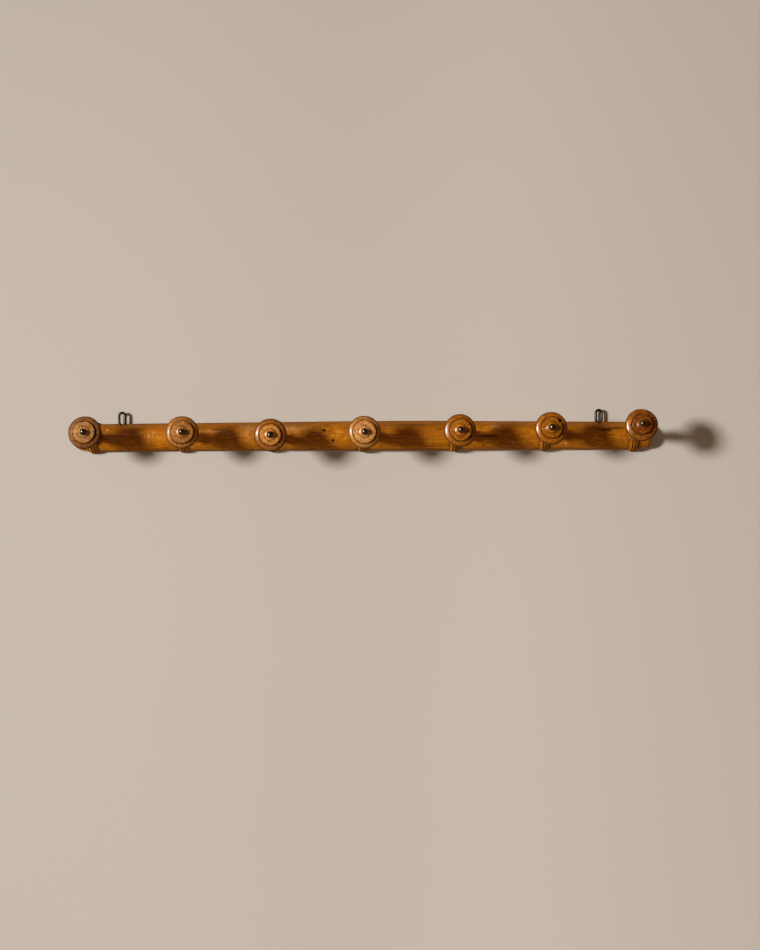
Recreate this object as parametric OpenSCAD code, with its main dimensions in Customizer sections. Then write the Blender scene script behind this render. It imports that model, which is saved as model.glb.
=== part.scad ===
/* [Rail] */
// Distance from one peg to the next along the rail
peg_pitch = 150; // [120:1:180]
// Radius of the half-round rail between its nodes
rail_radius = 23.4; // [19:0.1:30]
// Extra radius where the rail is fullest, a little to the right of the middle peg
belly_rise = 1.4; // [0:0.1:3]
// Place of the fullest section, measured from the middle peg
belly_at = 75; // [-150:5:150]
// Half length of the fuller stretch
belly_spread = 190; // [100:5:300]
// Rail beyond the first peg, on the domed left end
left_overhang = 39; // [36:1:70]
// Rail beyond the last peg, on the trimmed right end
right_overhang = 29; // [24:1:60]
// Length of the dome on the left end
dome_length = 22; // [8:1:24]
// Radius lost by the taper towards either end
end_taper = 2.4; // [0:0.1:5]
// Rounding of the trimmed right end's edge
trim_round = 1.6; // [0.5:0.1:3]

/* [Bamboo nodes] */
// Height of a node's crown over the rail
crown_rise = 3.1; // [1.5:0.1:5]
// Width of the crown, along the rail
crown_width = 9.4; // [8:0.1:14]
// Length of the flare on either side of a crown
flare_length = 3.6; // [2:0.1:6]
// Distance between the two incised lines of a crown
line_spacing = 4.8; // [3.5:0.1:6]
// Radius of the tool that cut the lines
line_radius = 0.8; // [0.4:0.1:1.2]

/* [Peg stems] */
// Distance from the wall to the widest section of a knob, along the peg
knob_reach = 85; // [70:1:110]
// Radius of the round collar at the foot of a stem
collar_radius = 13.2; // [11:0.1:15]
// Height of a collar over its seat in the rail
collar_height = 8; // [5:0.1:10]
// Rounding of a collar's front edge
collar_round = 1.8; // [1:0.1:2.4]
// Distance of a collar's seat from the wall
seat_reach = 21.4; // [18:0.1:24]
// Radius of the tenon glued into the rail
tenon_radius = 7.5; // [5:0.1:9]
// Wood left behind a tenon
tenon_backing = 5; // [4:0.5:9]
// Least radius of the stem, on both sides of its ring
waist_radius = 7.3; // [6:0.1:9]
// Radius of the ring at the middle of the stem
ring_radius = 10.3; // [8.5:0.1:12.5]
// Width of the ring along the stem
ring_width = 9; // [6:0.5:12]
// Radius of the flare that carries the knob
flare_radius = 10.6; // [9:0.1:13]
// Radius of the spigot that centres the knob
spigot_radius = 6; // [4.5:0.1:7]
// Length of the spigot
spigot_length = 6; // [4:0.5:7]

/* [Knobs] */
// Radius of a knob's rim
knob_radius = 26.5; // [25.5:0.1:32]
// Radius of the round edge of the rim
rim_round = 6; // [4:0.1:7]
// Distance from the knob's seat on its stem to the rim's centre
knob_back = 10; // [9:0.5:14]
// Radius of the groove inside the rim
groove_radius = 17.2; // [15.5:0.1:17.6]
// Depth of the groove under the rim's front
groove_depth = 0.7; // [0.3:0.1:1.5]
// Height of the raised disc over the rim's front
disc_height = 4.4; // [2:0.1:6]
// Rise of the disc towards the boss
disc_rise = 0.6; // [0.2:0.1:1.2]
// Rounding of the disc's edge
disc_round = 1.2; // [0.6:0.1:1.8]
// Radius of the raised boss in the middle
boss_radius = 9.2; // [8:0.1:12]
// Height of the boss over the disc
boss_height = 1.4; // [1.3:0.1:3]

/* [Knob screws] */
// Radius of the ball that is the screw's head
ball_radius = 5; // [3.5:0.1:6]
// Share of the ball's radius that stands between its centre and the boss
ball_lift = 0.35; // [0.2:0.01:0.6]
// Radius of the screw's shank
shank_radius = 2.1; // [1.5:0.1:2.8]
// Length of the shank under the ball
shank_length = 30; // [22:1:36]

/* [Hanging eyes] */
// Distance of the left eye from the first peg
left_eye_inset = 46.5; // [35:0.5:60]
// Distance of the right eye from the last peg
right_eye_inset = 56.5; // [35:0.5:60]
// Distance of the left eye from the wall
left_eye_stand = 8; // [5:0.5:13]
// Distance of the right eye from the wall
right_eye_stand = 4; // [3.5:0.5:13]
// Radius of the eye's wire
wire_radius = 2.2; // [1.6:0.1:2.6]
// Width of an eye, outside
eye_width = 14.2; // [13:0.1:20]
// Height of an eye's ring, outside
eye_height = 25.2; // [22:0.1:32]
// Clearance between the rail's edge and the opening of an eye
eye_clearance = 0.4; // [0.2:0.1:2]
// Length of the shank in the rail
eye_shank = 24; // [15:1:30]

/* [Fits] */
// Glue gap round a tenon or spigot
glue_gap = 0.1; // [0.05:0.05:0.3]
// Gap round a collar in its recess
collar_gap = 0.3; // [0.1:0.05:0.6]
// Gap round a screw's shank
screw_gap = 0.1; // [0.05:0.05:0.3]

/* [Hidden] */
$fn = 96;

// How far each hand-drilled peg is off the even pitch, and how far it leans up and to the right, in degrees
peg_shift = [0.5, 0.5, -1.5, 0, 3, 3, 2];
peg_up = [3.9, 3.6, 0.5, 3, 4.3, 6.3, 9.4];
peg_right = [0.5, 5.5, 2, 2.3, 3.5, 1.6, -0.3];
last_peg = len(peg_shift) - 1;

function peg_x(k) = (k - last_peg / 2) * peg_pitch + peg_shift[k];
left_tip = peg_x(0) - left_overhang;
right_tip = peg_x(last_peg) + right_overhang;
node_half = crown_width / 2 + flare_length;
dome_start = left_tip + dome_length;
trim_start = right_tip - trim_round;
margin = 1;

// Share of a smooth step, from 0 to 1
function smooth(s) = s * s * (3 - 2 * s);
// Share of the way from a to b, kept within 0 and 1
function share(v, a, b) = max(0, min(1, (v - a) / (b - a)));
// Points of an arc with its centre at [x, y]
function arc(x, y, r, from, to, steps = 10) =
    [for (i = [0:steps]) [x + r * cos(from + (to - from) * i / steps), y + r * sin(from + (to - from) * i / steps)]];

// Radius of the rail at x without its nodes: the belly, and the taper towards both ends
function belly(x) = belly_rise * exp(-pow((x - belly_at) / belly_spread, 2));
function taper(x) =
    end_taper * (share(-x, -peg_x(0) + node_half, -dome_start) + share(x, peg_x(last_peg) + node_half, right_tip));
function barrel(x) = rail_radius + belly(x) - taper(x);
function crown_radius(k) = barrel(peg_x(k)) + crown_rise;

// Profile of one node: up the flare, over the crown and down again
flare_steps = 6;
function node_profile(k) = concat(
    [for (i = [0:flare_steps])
        let (s = i / flare_steps, x = peg_x(k) - node_half + s * flare_length)
        [barrel(x) + (crown_radius(k) - barrel(x)) * smooth(s), x]],
    [for (i = [0:flare_steps])
        let (s = i / flare_steps, x = peg_x(k) + crown_width / 2 + s * flare_length)
        [crown_radius(k) + (barrel(x) - crown_radius(k)) * smooth(s), x]]
);
// Profile of the plain stretch after node k, without its ends
stretch_steps = 6;
function stretch_profile(k) = [
    for (i = [1:stretch_steps - 1])
        let (x = peg_x(k) + node_half + (peg_pitch - 2 * node_half) * i / stretch_steps)
        [barrel(x), x]
];
// Profile of the domed left end, a quarter of an ellipse, and of the trimmed right end
dome_steps = 12;
function dome_profile() = [
    for (i = [0:dome_steps])
        let (a = 90 * i / dome_steps)
        [barrel(dome_start) * sin(a), dome_start - dome_length * cos(a)]
];
function trim_profile() = arc(barrel(trim_start) - trim_round, trim_start, trim_round, 0, 90, 5);

function rail_profile() = concat(
    dome_profile(),
    [for (k = [0:last_peg]) each concat(node_profile(k), k < last_peg ? stretch_profile(k) : [])],
    trim_profile(),
    [[0, right_tip]]
);

module along_rail() {
    rotate([0, 90, 0]) children();
}

module at_peg(k) {
    translate([peg_x(k), 0, 0]) rotate([90 - peg_up[k], 0, peg_right[k]]) children();
}

// Half-round rail with its seven bamboo nodes, drilled for the pegs and the hanging eyes
module rail() {
    color("peru") difference() {
        along_rail() rotate_extrude() polygon(rail_profile());
        translate([left_tip - margin, 0, -2 * rail_radius])
            cube([right_tip - left_tip + 2 * margin, 2 * rail_radius, 4 * rail_radius]);
        for (k = [0:last_peg]) {
            incised_lines(k);
            at_peg(k) peg_socket();
        }
        left_eye_place() eye_form(screw_gap);
        right_eye_place() eye_form(screw_gap);
    }
}

module incised_lines(k) {
    for (side = [-1, 1])
        translate([peg_x(k) + side * line_spacing / 2, 0, 0])
            along_rail() rotate_extrude() translate([crown_radius(k), 0]) circle(r = line_radius, $fn = 24);
}

// Blind hole for the tenon, with a flat recess that the collar sits in
module peg_socket() {
    translate([0, 0, tenon_backing - glue_gap]) cylinder(r = tenon_radius + glue_gap, h = seat_reach);
    translate([0, 0, seat_reach]) cylinder(r = collar_radius + collar_gap, h = 2 * collar_height);
}

knob_seat = knob_reach - knob_back;
collar_top = seat_reach + collar_height;
ring_middle = (collar_top + knob_seat) / 2;
ring_start = ring_middle - ring_width / 2;
ring_end = ring_middle + ring_width / 2;
lower_waist = (collar_top + ring_start) / 2;
upper_waist = (ring_end + knob_seat) / 2;
tip_chamfer = 1;
spigot_chamfer = 0.5;
pilot_spare = 2;

// Turned stem: tenon, collar, hollow waist, ring, second waist and the flare under the knob
module peg_stem(k) {
    color("chocolate") at_peg(k) rotate_extrude() polygon(concat(
        [[0, tenon_backing], [tenon_radius - tip_chamfer, tenon_backing], [tenon_radius, tenon_backing + tip_chamfer]],
        [[tenon_radius, seat_reach], [collar_radius, seat_reach]],
        arc(collar_radius - collar_round, collar_top - collar_round, collar_round, 0, 90, 6),
        passage(collar_radius - 2 * collar_round, collar_top, waist_radius, lower_waist),
        ring_profile(),
        passage(waist_radius, upper_waist, flare_radius, knob_seat - flare_edge),
        [[flare_radius, knob_seat], [spigot_radius, knob_seat]],
        [[spigot_radius, spigot_top - spigot_chamfer], [spigot_radius - spigot_chamfer, spigot_top]],
        [[pilot_radius, spigot_top], [pilot_radius, pilot_floor], [0, pilot_floor - pilot_radius]]
    ));
}

// A smooth turned passage from one radius to another
function passage(r1, t1, r2, t2, steps = 6) =
    [for (i = [0:steps]) [r1 + (r2 - r1) * smooth(i / steps), t1 + (t2 - t1) * i / steps]];
// The ring: half an ellipse over the waist
ring_steps = 12;
function ring_profile() = [
    for (i = [0:ring_steps])
        let (a = 180 * i / ring_steps)
        [waist_radius + (ring_radius - waist_radius) * sin(a), ring_middle - ring_width / 2 * cos(a)]
];

spigot_top = knob_seat + spigot_length;
flare_edge = 0.8;
rim_centre = knob_radius - rim_round;
rim_front = knob_reach + rim_round;
groove_half = 0.4;
groove_floor = rim_front - groove_depth;
disc_edge = groove_radius - groove_half;
disc_top = rim_front + disc_height;
boss_foot = disc_top + disc_rise;
boss_seat = boss_foot + boss_height;
boss_round = 1.2;
pilot_radius = shank_radius + screw_gap;
pilot_floor = boss_seat - shank_length - pilot_spare;
ball_centre = boss_seat + ball_lift * ball_radius;

// Turned knob: rim with a round edge, groove, raised disc and a boss with a seat for the screw
module peg_knob(k) {
    color("sandybrown") at_peg(k) rotate_extrude() polygon(concat(
        [[spigot_radius + glue_gap, knob_seat], [flare_radius, knob_seat]],
        passage(flare_radius, knob_seat + flare_edge, rim_centre, knob_reach - rim_round, 8),
        arc(rim_centre, knob_reach, rim_round, -75, 90, 12),
        [[groove_radius + 2 * groove_half, rim_front]],
        [[groove_radius + groove_half, groove_floor], [disc_edge, groove_floor]],
        arc(disc_edge - disc_round, disc_top - disc_round, disc_round, 0, 80, 5),
        [[boss_radius, boss_foot]],
        arc(boss_radius - boss_round, boss_seat - boss_round, boss_round, 0, 90, 5),
        [[pilot_radius, boss_seat]],
        [[pilot_radius, spigot_top + glue_gap], [spigot_radius + glue_gap, spigot_top + glue_gap]]
    ));
}

// Steel screw whose head is a ball, down through the knob into the stem
module knob_screw(k) {
    color("dimgray") at_peg(k) {
        difference() {
            translate([0, 0, ball_centre]) sphere(r = ball_radius);
            translate([0, 0, boss_seat - ball_radius]) cube(2 * ball_radius, center = true);
        }
        rotate_extrude() polygon([
            [0, boss_seat - shank_length],
            [shank_radius, boss_seat - shank_length + 2 * shank_radius],
            [shank_radius, ball_centre],
            [0, ball_centre]
        ]);
    }
}

// Lowest point of an eye's ring, where its opening just clears the rail's curve at that distance from the wall
function eye_foot(x, stand) = sqrt(pow(barrel(x), 2) - pow(stand, 2)) + eye_clearance - 2 * wire_radius;
left_eye_x = peg_x(0) + left_eye_inset;
right_eye_x = peg_x(last_peg) - right_eye_inset;

module left_eye_place() {
    translate([left_eye_x, -left_eye_stand, eye_foot(left_eye_x, left_eye_stand)]) children();
}

module right_eye_place() {
    translate([right_eye_x, -right_eye_stand, eye_foot(right_eye_x, right_eye_stand)]) children();
}

bow_radius = eye_width / 2 - wire_radius;
low_bow = wire_radius + bow_radius;
high_bow = eye_height - wire_radius - bow_radius;

// Long screw eye: two half bows, two straight legs and a shank; extra widens it all round for its bed
module eye_form(extra = 0) {
    translate([0, 0, high_bow]) half_bow(extra);
    translate([0, 0, low_bow]) rotate([0, 180, 0]) half_bow(extra);
    for (side = [-1, 1])
        translate([side * bow_radius, 0, low_bow]) cylinder(r = wire_radius + extra, h = high_bow - low_bow);
    rotate_extrude() polygon([
        [0, -eye_shank - extra],
        [wire_radius + extra, 3 * wire_radius - eye_shank],
        [wire_radius + extra, wire_radius],
        [0, wire_radius]
    ]);
}

module half_bow(extra) {
    rotate([90, 0, 0]) rotate_extrude(angle = 180) translate([bow_radius, 0]) circle(r = wire_radius + extra, $fn = 32);
}

module hanging_eye_left() {
    color("slategray") left_eye_place() eye_form();
}

module hanging_eye_right() {
    color("slategray") right_eye_place() eye_form();
}

rail();
for (i = [1:7]) peg_stem(i - 1);
for (i = [1:7]) peg_knob(i - 1);
for (i = [1:7]) knob_screw(i - 1);
hanging_eye_left();
hanging_eye_right();
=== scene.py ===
"""Dresses a turned wooden coat rack: rail, stems, knobs, screws and hanging eyes, on a pale stage."""

import math
from functools import partial

import bpy
import numpy as np
from bpy.props import FloatProperty, FloatVectorProperty, IntProperty, PointerProperty
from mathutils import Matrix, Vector


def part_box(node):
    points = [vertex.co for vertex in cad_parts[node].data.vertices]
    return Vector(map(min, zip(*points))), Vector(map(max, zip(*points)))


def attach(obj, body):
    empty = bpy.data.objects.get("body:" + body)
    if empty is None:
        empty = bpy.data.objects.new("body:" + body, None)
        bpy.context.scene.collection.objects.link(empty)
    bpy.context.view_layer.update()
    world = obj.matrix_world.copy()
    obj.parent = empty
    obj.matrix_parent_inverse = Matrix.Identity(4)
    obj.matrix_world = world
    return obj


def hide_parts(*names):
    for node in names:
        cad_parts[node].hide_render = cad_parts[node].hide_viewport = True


bl_info = {
    "name": "Bamboo-style Coat Rack",
    "version": (1, 0, 0),
    "blender": (4, 5, 0),
    "location": "View3D > Sidebar > Coat Rack",
    "description": "Makes the varnished rail, the turned pegs and the steel fittings of a wall coat rack",
    "category": "Add Mesh",
}

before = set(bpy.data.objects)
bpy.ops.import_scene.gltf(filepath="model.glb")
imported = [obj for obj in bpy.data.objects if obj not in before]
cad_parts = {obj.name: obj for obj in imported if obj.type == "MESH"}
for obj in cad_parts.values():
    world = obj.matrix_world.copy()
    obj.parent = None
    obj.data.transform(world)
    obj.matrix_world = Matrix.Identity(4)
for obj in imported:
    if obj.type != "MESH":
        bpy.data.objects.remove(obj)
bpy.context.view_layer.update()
RAIL_LOW, RAIL_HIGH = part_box("rail")
LEFT_TIP, RIGHT_TIP = RAIL_LOW.x, RAIL_HIGH.x
PEG_COUNT = sum(name.startswith("peg_stem_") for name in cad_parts)


def length(name, default, description):
    """A size in metres."""
    return FloatProperty(
        name=name, description=description, default=default, min=0, precision=4, unit="LENGTH"
    )


def place(name, default, description):
    """A coordinate in metres, which may be negative."""
    return FloatProperty(name=name, description=description, default=default, precision=4, unit="LENGTH")


def point(name, default, description):
    """A point in metres."""
    return FloatVectorProperty(
        name=name, description=description, default=default, size=3, subtype="TRANSLATION", unit="LENGTH"
    )


def share(name, default, description):
    """A part of one."""
    return FloatProperty(
        name=name, description=description, default=default, min=0, max=1, subtype="FACTOR"
    )


def brightness(name, default, description):
    """The strength of a light."""
    return FloatProperty(name=name, description=description, default=default, min=0)


def colour(name, default, description):
    """A linear colour."""
    return FloatVectorProperty(
        name=name, description=description, default=default, size=3, min=0, max=1, subtype="COLOR"
    )


def slant(name, degrees, description):
    """An angle, given in degrees and kept in radians."""
    return FloatProperty(name=name, description=description, default=math.radians(degrees), unit="ROTATION")


def leans(name, degrees, description):
    """One angle for each peg, given in degrees and kept in radians."""
    default = [math.radians(angle) for angle in degrees]
    return FloatVectorProperty(
        name=name, description=description, default=default, size=PEG_COUNT, unit="ROTATION"
    )


def for_each_peg(name, default, description):
    """One length in metres for each peg."""
    return FloatVectorProperty(
        name=name, description=description, default=default, size=PEG_COUNT, precision=4, unit="LENGTH"
    )


class RackRailSizes(bpy.types.PropertyGroup):
    radius: length("Radius", 0.0234, "Radius of the half-round rail between its nodes")
    belly_rise: length("Belly", 0.0014, "Extra radius where the rail is fullest")
    belly_at: place("Belly place", 0.075, "Place of the fullest section, from the middle peg")
    belly_spread: length("Belly spread", 0.19, "Half length of the fuller stretch")
    dome_length: length("Dome", 0.022, "Length of the dome on the left end")
    end_taper: length("Taper", 0.0024, "Radius lost towards either end")
    trim_round: length("Trim rounding", 0.0070, "Rounding of the trimmed right end's edge")
    crown_rise: length("Crown rise", 0.0031, "Height of a node's crown over the rail")
    crown_width: length("Crown width", 0.0094, "Width of the crown, along the rail")
    crown_drop: length("Crown drop", 0.0005, "How much lower the crown's edges are than its middle")
    flare_length: length("Flare", 0.0036, "Length of the flare on either side of a crown")
    line_spacing: length("Line spacing", 0.0048, "Distance between the two incised lines of a crown")
    line_radius: length("Line radius", 0.0011, "Radius of the tool that cut the lines")
    bow: length("Bow", 0.0012, "How far the seasoned wood rises in the middle and drops at the ends")
    unevenness: length("Unevenness", 0.00014, "Height of the faint waves that hand planing left")
    hole_radius: length("Hole radius", 0.0020, "Radius of the two old pin holes")
    hole_depth: length("Hole depth", 0.003, "Depth of the two old pin holes")


class RackPegSizes(bpy.types.PropertyGroup):
    pitch: length("Pitch", 0.15, "Distance from one peg to the next")
    shift: for_each_peg(
        "Shift",
        (0.0005, 0.0005, -0.0015, 0, 0.003, 0.003, 0.002),
        "How far each hand-drilled peg is off the even pitch",
    )
    lean_up: leans("Lean up", (3.9, 3.6, 0.5, 3, 4.3, 6.3, 9.4), "How far each peg leans up")
    lean_right: leans("Lean right", (0.5, 5.5, 2, 2.3, 3.5, 1.6, -0.3), "How far each peg leans right")
    tenon_radius: length("Tenon radius", 0.0075, "Radius of the tenon glued into the rail")
    tenon_backing: length("Tenon backing", 0.005, "Wood left behind a tenon")
    tip_chamfer: length("Tip chamfer", 0.001, "Chamfer on the tenon's tip")
    seat_reach: length("Seat reach", 0.0214, "Distance of a collar's seat from the wall")
    collar_radius: length("Collar radius", 0.0132, "Radius of the round collar at the foot of a stem")
    collar_height: length("Collar height", 0.008, "Height of a collar over its seat")
    collar_round: length("Collar rounding", 0.0018, "Rounding of a collar's front edge")
    waist_radius: length("Waist radius", 0.0073, "Least radius of the stem")
    ring_radius: length("Ring radius", 0.0103, "Radius of the ring at the middle of the stem")
    ring_width: length("Ring width", 0.009, "Width of the ring along the stem")
    flare_radius: length("Flare radius", 0.0106, "Radius of the flare that carries the knob")
    flare_edge: length("Flare edge", 0.0008, "Straight edge of the flare")
    spigot_radius: length("Spigot radius", 0.006, "Radius of the spigot that centres the knob")
    spigot_length: length("Spigot length", 0.006, "Length of the spigot")
    segments: IntProperty(name="Segments", description="Faces round a turned piece", default=112, min=24)


class RackKnobSizes(bpy.types.PropertyGroup):
    reach: length("Reach", 0.085, "Distance from the wall to the widest section of a knob")
    radius: length("Radius", 0.0265, "Radius of a knob's rim")
    rim_round: length("Rim rounding", 0.006, "Radius of the round edge behind the rim")
    rim_edge: length("Rim edge", 0.0041, "Radius of the round edge in front of the rim")
    rim_slope: length("Rim slope", 0.018, "Radius of the long curve from the edge down to the groove")
    rim_turn: slant("Rim turn", 54, "Angle at which the edge turns into the slope")
    back: length("Back", 0.01, "Distance from the knob's seat to the rim's centre")
    groove_radius: for_each_peg(
        "Groove radius",
        (0.0181, 0.0187, 0.0176, 0.0189, 0.0179, 0.0176, 0.0173),
        "Radius of the groove between rim and disc, as each knob was turned",
    )
    groove_half: length("Groove half width", 0.0004, "Half width of the groove's floor")
    groove_depth: length("Groove depth", 0.0007, "Depth of the groove under the rim's front")
    disc_height: length("Disc height", 0.0033, "Height of the raised disc over the rim's front")
    disc_round: length("Disc rounding", 0.0012, "Rounding of the disc's edge")
    boss_radius: length("Boss radius", 0.0098, "Radius of the raised boss in the middle")
    boss_reach: length("Boss reach", 0.0974, "Distance from the wall to the boss's top, where the ball sits")
    boss_curve: length("Boss curve", 0.0175, "Radius of the dome on the boss")
    ball_radius: length("Ball radius", 0.005, "Radius of the ball that is the screw's head")
    ball_lift: share("Ball lift", 0.35, "Share of the ball's radius between its centre and the boss")
    shank_radius: length("Shank radius", 0.0021, "Radius of the screw's shank")
    shank_length: length("Shank length", 0.03, "Length of the shank under the ball")
    wobble: length("Wobble", 0.00022, "How far a hand-turned knob is out of round")


class RackEyeSizes(bpy.types.PropertyGroup):
    wire_radius: length("Wire radius", 0.0022, "Radius of the eye's wire")
    height: length("Height", 0.0252, "Height of an eye's ring, outside")
    shank: length("Shank", 0.024, "Length of the shank in the rail")
    segments: IntProperty(name="Segments", description="Faces round the wire", default=28, min=8)


class RackFinish(bpy.types.PropertyGroup):
    rail_pale: colour("Rail, pale", (0.84, 0.305, 0.012), "Varnished wood where the grain is pale")
    rail_deep: colour("Rail, deep", (0.38, 0.103, 0.0010), "Varnished wood where the grain is dark")
    # This colour paints shade on the rail's upper side
    rail_top_shade: colour("Rail, aged", (0.23, 0.074, 0.001), "Old dark varnish on the rail's upper side")
    stem_pale: colour("Stem, pale", (0.50, 0.165, 0.010), "Stems where the grain is pale")
    stem_deep: colour("Stem, deep", (0.26, 0.074, 0.002), "Stems where the grain is dark")
    # This colour is the old polish and dust in lines and grooves, and also paints shade in creases and
    # joints
    grime_and_shade: colour("Grime", (0.022, 0.008, 0.002), "Old polish and dust in lines and grooves")
    rubbed: colour("Rubbed", (0.62, 0.36, 0.14), "Wood that shows pale where the varnish is scuffed")
    bare: colour("Bare wood", (0.42, 0.27, 0.135), "Planed back of the rail, never varnished")
    steel: colour("Eye steel", (0.034, 0.026, 0.017), "Dull steel of the hanging eyes")
    ball: colour("Ball steel", (0.100, 0.068, 0.038), "Dark polished steel of the ball heads")


class RackStage(bpy.types.PropertyGroup):
    camera: point("Camera", (0.0282, -2.217, -0.0649), "Place of the camera")
    roll: slant("Roll", 0.268, "Roll of the camera")
    lens: FloatProperty(name="Lens", description="Focal length in millimetres", default=50, min=10)
    aim: point("Aim", (0.0, -0.04, 0.0), "Point that the lights are turned to")
    key: point("Key light", (-2.31, -2.01, 0.44), "Place of the window-like key light")
    key_width: length("Key width", 0.52, "Width of the key light")
    key_height: length("Key height", 0.58, "Height of the key light")
    key_strength: brightness("Key strength", 12.4, "Light of the key")
    card_width: length("Card width", 0.5, "Width of the tall card that only the varnish mirrors")
    card_height: length("Card height", 2.4, "Height of the card")
    card_strength: brightness("Card strength", 11.0, "Light of the card")
    back: point("Back light", (0.9, 2.0, 0.0), "Place of the light behind the rack")
    back_size: length("Back size", 1.2, "Width and height of the light behind the rack")
    back_strength: brightness("Back strength", 4.0, "Light on the rail's back")
    wall_gap: length("Wall gap", 0.0005, "Gap between the rail's back and the wall")
    hollow: length("Hollow", 0.0070, "Depth of the shallow hollow in the old wall behind the rack")
    hollow_at: place("Hollow place", 0.10, "Place of the hollow's deepest line, from the middle peg")
    hollow_spread: length("Hollow spread", 0.25, "Half width of the hollow")
    floor_drop: length("Floor drop", 0.95, "Distance from the rack down to the floor")
    extent: length("Extent", 5.0, "Half width of wall and floor")
    wall: colour("Wall", (0.56, 0.506, 0.438), "Matt wall paint")
    floor: colour("Floor", (0.62, 0.57, 0.51), "Pale floor")
    floor_bounce: share("Floor bounce", 0.3, "Share of its light that the floor gives back to the rack")
    ambient: colour("Ambient", (0.214, 0.132, 0.078), "Warm light from the room")
    mirrored: share("Mirrored", 0.15, "Share of the room's light that shows in the varnish")


# Shapes: every profile is an array of (radius, height) pairs, and every surface a grid of points

# Points closer than this are one, and an edge that turns more than this is sharp
SAME_POINT = 1e-7
SHARP_ANGLE = math.radians(38)

# Bells of dust and painted shade in lines, grooves, creases and joints, and of painted shade on a knob's
# rim: the half width of each, and its strength from 0 to 1
DIRT_AND_SHADE = {
    "rail edge": (0.0055, 0.75),
    "flare foot": (0.0024, 0.6),
    "collar": (0.0014, 0.75),
    "collar seat": (0.0012, 0.8),
    "collar top": (0.0012, 0.75),
    "ring edge": (0.0009, 0.7),
    "stem end": (0.0008, 0.6),
    "knob seat": (0.0012, 0.5),
    "rim": (0.0020, 0.95),
    "groove": (0.0009, 1.0),
    "beside groove": (0.0028, 0.35),
    "boss foot": (0.0009, 0.75),
    "beside boss": (0.0024, 0.25),
    "ball": (0.0009, 0.9),
    "screw": (0.0014, 1.0),
    "eye foot": (0.004, 0.7),
}


def smooth_step(s):
    """3 s squared less 2 s cubed, which rises from 0 to 1 and is level at both."""
    return s * s * (3 - 2 * s)


def bell(distance, width):
    """A bell curve: e to the minus square of distance over width."""
    return np.exp(-((distance / width) ** 2))


def dirt_and_shade_bell(distance, where):
    """Dust and painted shade that fade away from a line: its strength times a bell of the distance."""
    width, strength = DIRT_AND_SHADE[where]
    return strength * bell(distance, width)


def arc(centre, radius, start, end, steps=12):
    """Arc of a circle: centre plus radius times (cos a, sin a), with a from start to end in degrees."""
    angle = np.radians(np.linspace(start, end, steps + 1))
    return np.column_stack((centre[0] + radius * np.cos(angle), centre[1] + radius * np.sin(angle)))


def passage(low, high, steps=10):
    """A turned passage: the height grows evenly and the radius follows a smooth step."""
    s = np.linspace(0, 1, steps + 1)
    return np.column_stack((low[0] + (high[0] - low[0]) * smooth_step(s), low[1] + (high[1] - low[1]) * s))


def refine(profile, spacing, closed=False):
    """The same outline with points added so that none is further than spacing from the next."""
    outline = np.vstack((profile, profile[:1])) if closed else profile
    steps = np.linalg.norm(np.diff(outline, axis=0), axis=1)
    keep = np.concatenate(([True], steps > SAME_POINT))
    outline, steps = outline[keep], steps[steps > SAME_POINT]
    at = np.concatenate(([0], np.cumsum(steps)))
    pieces = np.maximum(1, np.ceil(steps / spacing)).astype(int)
    start = np.repeat(at[:-1], pieces)
    inner = np.arange(pieces.sum()) - np.repeat(np.cumsum(pieces) - pieces, pieces)
    wanted = start + inner * np.repeat(steps / pieces, pieces)
    if not closed:
        wanted = np.append(wanted, at[-1])
    return np.column_stack((np.interp(wanted, at, outline[:, 0]), np.interp(wanted, at, outline[:, 1])))


def peg_axes(pegs, index):
    """Foot of a peg and a matrix whose columns are its own X, Y and outward axes."""
    up, right = pegs.lean_up[index], pegs.lean_right[index]
    foot = np.array(((index - (PEG_COUNT - 1) / 2) * pegs.pitch + pegs.shift[index], 0, 0))
    across = (math.cos(right), math.sin(right), 0)
    outward = (math.sin(right) * math.cos(up), -math.cos(right) * math.cos(up), math.sin(up))
    upward = (-math.sin(right) * math.sin(up), math.cos(right) * math.sin(up), math.cos(up))
    return foot, np.array((across, upward, outward)).T


def peg_places(pegs):
    """Place of every peg along the rail."""
    return np.array([peg_axes(pegs, index)[0][0] for index in range(PEG_COUNT)])


def revolve(profile, segments, swell=None):
    """Points at radius times (cos a, sin a) and the profile's height; swell adds to each radius."""
    angle = np.arange(segments) * 2 * math.pi / segments
    radius = np.repeat(profile[:, :1], segments, axis=1)
    if swell is not None:
        radius = radius + swell(profile[:, :1], angle[None, :])
    height = np.broadcast_to(profile[:, 1:], radius.shape)
    return np.stack((radius * np.cos(angle), radius * np.sin(angle), height), axis=-1)


def grid_faces(rows, columns, wrap_rows):
    """Quads between neighbouring rows of a grid whose columns close on themselves."""
    row = np.arange(rows if wrap_rows else rows - 1)[:, None] * columns
    above = np.roll(np.arange(rows), -1)[: row.size][:, None] * columns
    column = np.arange(columns)[None, :]
    following = (column + 1) % columns
    corners = (row + column, row + following, above + following, above + column)
    return np.stack(corners, axis=-1).reshape(-1, 4)


def pole_faces(first, columns, pole, outward):
    """Triangles from a row of points to one pole, turned outward."""
    column = np.arange(columns)
    ring = np.stack((first + column, first + (column + 1) % columns), axis=-1)
    if not outward:
        ring = ring[:, ::-1]
    return np.column_stack((ring, np.full(columns, pole)))


def skin(grid, attributes, poles=None):
    """Points, faces and attributes of a grid, closed in a ring of rows or by a pole at each end."""
    rows, columns = grid.shape[:2]
    points = grid.reshape(-1, 3)
    quads = grid_faces(rows, columns, wrap_rows=poles is None)
    triangles = np.zeros((0, 3), int)
    values = {name: value.reshape(rows * columns, -1) for name, value in attributes.items()}
    if poles is not None:
        points = np.vstack((points, poles))
        first = pole_faces(0, columns, rows * columns, outward=False)
        last = pole_faces((rows - 1) * columns, columns, rows * columns + 1, outward=True)
        triangles = np.vstack((first, last))
        ends = {name: np.stack((value[0], value[-1])) for name, value in values.items()}
        values = {name: np.vstack((value, ends[name])) for name, value in values.items()}
    return points, quads, triangles, values


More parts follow.
